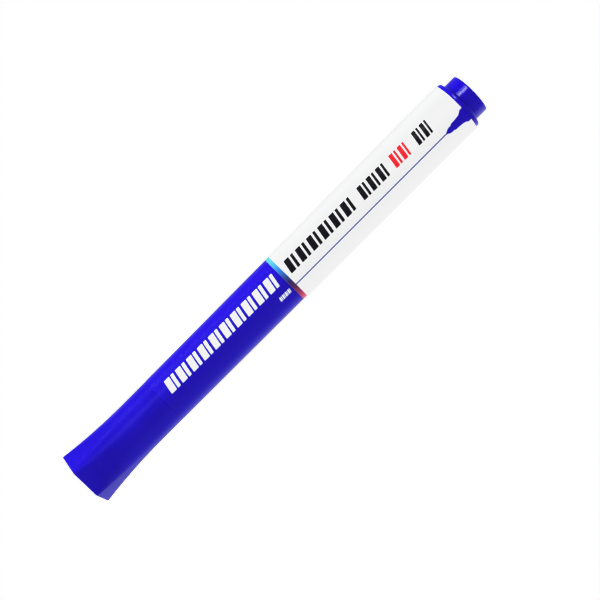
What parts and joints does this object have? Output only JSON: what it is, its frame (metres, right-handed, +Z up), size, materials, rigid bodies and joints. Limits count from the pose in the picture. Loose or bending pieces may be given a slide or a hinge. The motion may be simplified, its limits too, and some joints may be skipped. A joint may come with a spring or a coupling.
{
  "type": "felt tip marker",
  "caption": "Slim felt tip whiteboard marker with a printed round barrel, white nib holder, bullet nib, rear plug with a knob and a pull-off cap that is hexagonal at its closed end.",
  "frame": {"origin": "on the surface that the marker lies on, under the middle of its closed length and of its width", "axes": "+X along the marker's axis towards the nib and the cap's closed end, +Z up, away from the surface it lies on"},
  "size_m": [0.14, 0.0162, 0.0146],
  "materials": {
    "cap_plastic": "satin moulded blue polypropylene",
    "liner_plastic": "plain white moulded polypropylene",
    "printed_film": "printed film, blue front half, gradient band, white rear half with bars",
    "barrel_plastic": "white moulded polypropylene",
    "holder_plastic": "fine satin white moulded polypropylene",
    "nib_felt": "ink-soaked bonded fibre",
    "reservoir_fibre": "ink-soaked polyester fibre",
    "reservoir_wrap": "thin clear plastic wrap",
    "plug_plastic": "glossy moulded blue polypropylene"
  },
  "bodies": {
    "marker_body": {"barrel": "barrel_plastic", "label_film": "printed_film", "nib_holder": "holder_plastic", "nib": "nib_felt", "ink_reservoir": "reservoir_fibre", "reservoir_film": "reservoir_wrap", "rear_plug": "plug_plastic"},
    "cap": {"cap_shell": "cap_plastic", "inner_cap": "liner_plastic"}
  },
  "joints": [
    {"name": "cap_pull", "type": "slide", "parent": "marker_body", "child": "cap", "axis": [1, 0, 0], "range_m": [0, 0.06]}
  ]
}
